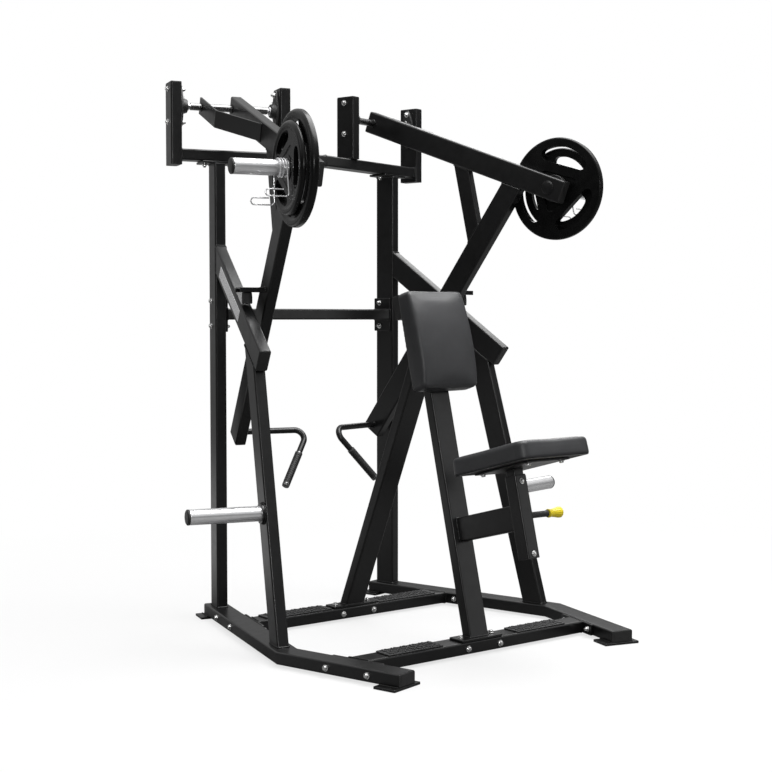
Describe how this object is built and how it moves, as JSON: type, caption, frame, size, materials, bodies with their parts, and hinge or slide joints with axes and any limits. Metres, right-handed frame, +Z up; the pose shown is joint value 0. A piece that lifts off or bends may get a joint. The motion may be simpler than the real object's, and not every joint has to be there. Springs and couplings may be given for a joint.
{
  "type": "plate-loaded seated row machine",
  "caption": "Plate-loaded gym machine with a chest pad, height-adjustable seat and two splayed swinging arms that carry weight plates.",
  "frame": {"origin": "on the floor under the middle of the machine's bounding box", "axes": "+Z up, the seat and the user on the -Y side, the user's right arm at +X"},
  "size_m": [1.609, 1.4398, 1.913],
  "materials": {
    "black_powder_coat": "satin black powder coat",
    "plate_rubber": "smooth black rubber moulded over an iron core",
    "black_rubber": "matt black rubber",
    "tread_rubber": "ridged black rubber",
    "vinyl": "dark grey vinyl over foam",
    "chrome": "bright chrome plate",
    "steel": "turned steel",
    "black_iron": "black painted casting",
    "yellow_plastic": "yellow moulded plastic"
  },
  "bodies": {
    "frame": {"top_beam": "black_powder_coat", "front_crossbar": "black_powder_coat", "rear_crossbar": "black_powder_coat", "middle_crossbar": "black_powder_coat", "pad_leg_front": "black_powder_coat", "pad_leg_rear": "black_powder_coat", "chest_pad": "vinyl", "seat_sleeve": "black_powder_coat", "pop_pin_barrel": "black_iron", "base_rail_left": "black_powder_coat", "base_rail_right": "black_powder_coat", "back_post_left": "black_powder_coat", "back_post_right": "black_powder_coat", "outer_upright_left": "black_powder_coat", "outer_upright_right": "black_powder_coat", "inner_upright_left": "black_powder_coat", "inner_upright_right": "black_powder_coat", "diagonal_beam_left": "black_powder_coat", "diagonal_beam_right": "black_powder_coat", "front_leg_left": "black_powder_coat", "front_leg_right": "black_powder_coat", "storage_horn_left": "chrome", "storage_horn_right": "chrome", "outer_bearing_left": "black_iron", "outer_bearing_right": "black_iron", "inner_bearing_left": "black_iron", "inner_bearing_right": "black_iron", "front_tread_left": "tread_rubber", "front_tread_right": "tread_rubber", "rear_tread_left": "tread_rubber", "rear_tread_right": "tread_rubber"},
    "arm_left": {"pivot_shaft_left": "steel", "arm_tube_left": "black_powder_coat", "arm_side_bar_left": "black_powder_coat", "lever_left": "black_powder_coat", "lever_brace_left": "black_powder_coat", "bumper_left": "black_rubber", "handle_left": "black_powder_coat", "grip_left": "black_rubber", "weight_horn_left": "chrome"},
    "large_plate_left": {"large_plate_left": "plate_rubber"},
    "small_plate_left": {"small_plate_left": "plate_rubber"},
    "clip_left": {"spring_clip_left": "chrome"},
    "arm_right": {"pivot_shaft_right": "steel", "arm_tube_right": "black_powder_coat", "arm_side_bar_right": "black_powder_coat", "lever_right": "black_powder_coat", "lever_brace_right": "black_powder_coat", "bumper_right": "black_rubber", "handle_right": "black_powder_coat", "grip_right": "black_rubber", "weight_horn_right": "chrome"},
    "large_plate_right": {"large_plate_right": "plate_rubber"},
    "small_plate_right": {"small_plate_right": "plate_rubber"},
    "clip_right": {"spring_clip_right": "chrome"},
    "seat": {"seat_post": "black_powder_coat", "seat_plate": "black_powder_coat", "seat_pad": "vinyl"},
    "pull_pin": {"pop_pin_plunger": "steel", "pop_pin_knob": "yellow_plastic"}
  },
  "joints": [
    {"name": "arm_left_swing", "type": "hinge", "parent": "frame", "child": "arm_left", "pos_m": [-0.31214, 0.59714, 1.8315], "axis": [-0.9659, 0.2588, 0], "range_deg": [0, 35]},
    {"name": "large_plate_left_slide", "type": "slide", "parent": "arm_left", "child": "large_plate_left", "axis": [-0.9659, 0.2588, 0], "range_m": [0, 0.045]},
    {"name": "small_plate_left_slide", "type": "slide", "parent": "large_plate_left", "child": "small_plate_left", "axis": [-0.9659, 0.2588, 0], "range_m": [0, 0.045]},
    {"name": "clip_left_slide", "type": "slide", "parent": "small_plate_left", "child": "clip_left", "axis": [-0.9659, 0.2588, 0], "range_m": [0, 0.045]},
    {"name": "arm_right_swing", "type": "hinge", "parent": "frame", "child": "arm_right", "pos_m": [0.31214, 0.59714, 1.8315], "axis": [-0.9659, -0.2588, 0], "range_deg": [0, 35]},
    {"name": "large_plate_right_slide", "type": "slide", "parent": "arm_right", "child": "large_plate_right", "axis": [0.9659, 0.2588, 0], "range_m": [0, 0.045]},
    {"name": "small_plate_right_slide", "type": "slide", "parent": "large_plate_right", "child": "small_plate_right", "axis": [0.9659, 0.2588, 0], "range_m": [0, 0.045]},
    {"name": "clip_right_slide", "type": "slide", "parent": "small_plate_right", "child": "clip_right", "axis": [0.9659, 0.2588, 0], "range_m": [0, 0.045]},
    {"name": "seat_height", "type": "slide", "parent": "frame", "child": "seat", "axis": [0, 0.2487, 0.9686], "range_m": [0, 0.15]},
    {"name": "pin_pull", "type": "slide", "parent": "frame", "child": "pull_pin", "axis": [1, 0, 0], "range_m": [0, 0.012], "stiffness_N_per_m": 900, "springref_m": -0.01}
  ]
}
